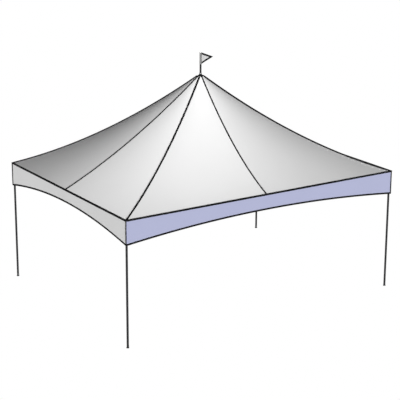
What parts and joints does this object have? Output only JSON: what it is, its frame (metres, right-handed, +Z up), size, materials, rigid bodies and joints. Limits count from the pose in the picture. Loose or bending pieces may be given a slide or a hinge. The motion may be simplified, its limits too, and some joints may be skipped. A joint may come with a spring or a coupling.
{
  "type": "marquee tent",
  "caption": "Open-sided marquee tent: peaked fabric roof with arched valances on a tube frame, raised by a mast on crossed cables, with a pennant.",
  "frame": {"origin": "on the ground below the peak, at the middle of the plan", "axes": "+Z up, +X along the long sides to the right as seen from the front, +Y from the front to the back"},
  "size_m": [6.1108, 4.5868, 4.756],
  "materials": {
    "frame_metal": "black powder coat, satin",
    "foot_rubber": "matt black",
    "cable_steel": "galvanised",
    "roof_fabric": "white coated polyester, satin",
    "grey_fabric": "light grey coated polyester, satin",
    "lavender_fabric": "pale lavender coated polyester, satin",
    "black_vinyl": "black reinforcing vinyl and webbing",
    "pennant_cloth": "light grey nylon with a black border"
  },
  "bodies": {
    "root": {"leg_front_left": "frame_metal", "leg_front_right": "frame_metal", "leg_back_left": "frame_metal", "leg_back_right": "frame_metal", "foot_front_left": "foot_rubber", "foot_front_right": "foot_rubber", "foot_back_left": "foot_rubber", "foot_back_right": "foot_rubber", "corner_fitting_front_left": "frame_metal", "corner_fitting_front_right": "frame_metal", "corner_fitting_back_left": "frame_metal", "corner_fitting_back_right": "frame_metal", "eave_beam_front": "frame_metal", "eave_beam_back": "frame_metal", "eave_beam_left": "frame_metal", "eave_beam_right": "frame_metal", "turnbuckle_front_left": "cable_steel", "turnbuckle_front_right": "cable_steel", "turnbuckle_back_left": "cable_steel", "turnbuckle_back_right": "cable_steel", "cross_cable_front_left": "cable_steel", "cross_cable_front_right": "cable_steel", "cross_cable_back_left": "cable_steel", "cross_cable_back_right": "cable_steel", "mast_foot": "frame_metal", "mast": "frame_metal", "mast_head": "frame_metal", "flag_pole": "frame_metal", "peak_cap": "black_vinyl", "pennant": "pennant_cloth", "roof_gore_right_back": "roof_fabric", "roof_gore_back_right": "roof_fabric", "roof_gore_back_left": "roof_fabric", "roof_gore_left_back": "roof_fabric", "roof_gore_left_front": "roof_fabric", "roof_gore_front_left": "roof_fabric", "roof_gore_front_right": "roof_fabric", "roof_gore_right_front": "roof_fabric", "valance_front": "lavender_fabric", "valance_back": "lavender_fabric", "valance_left": "grey_fabric", "valance_right": "grey_fabric"}
  },
  "joints": []
}
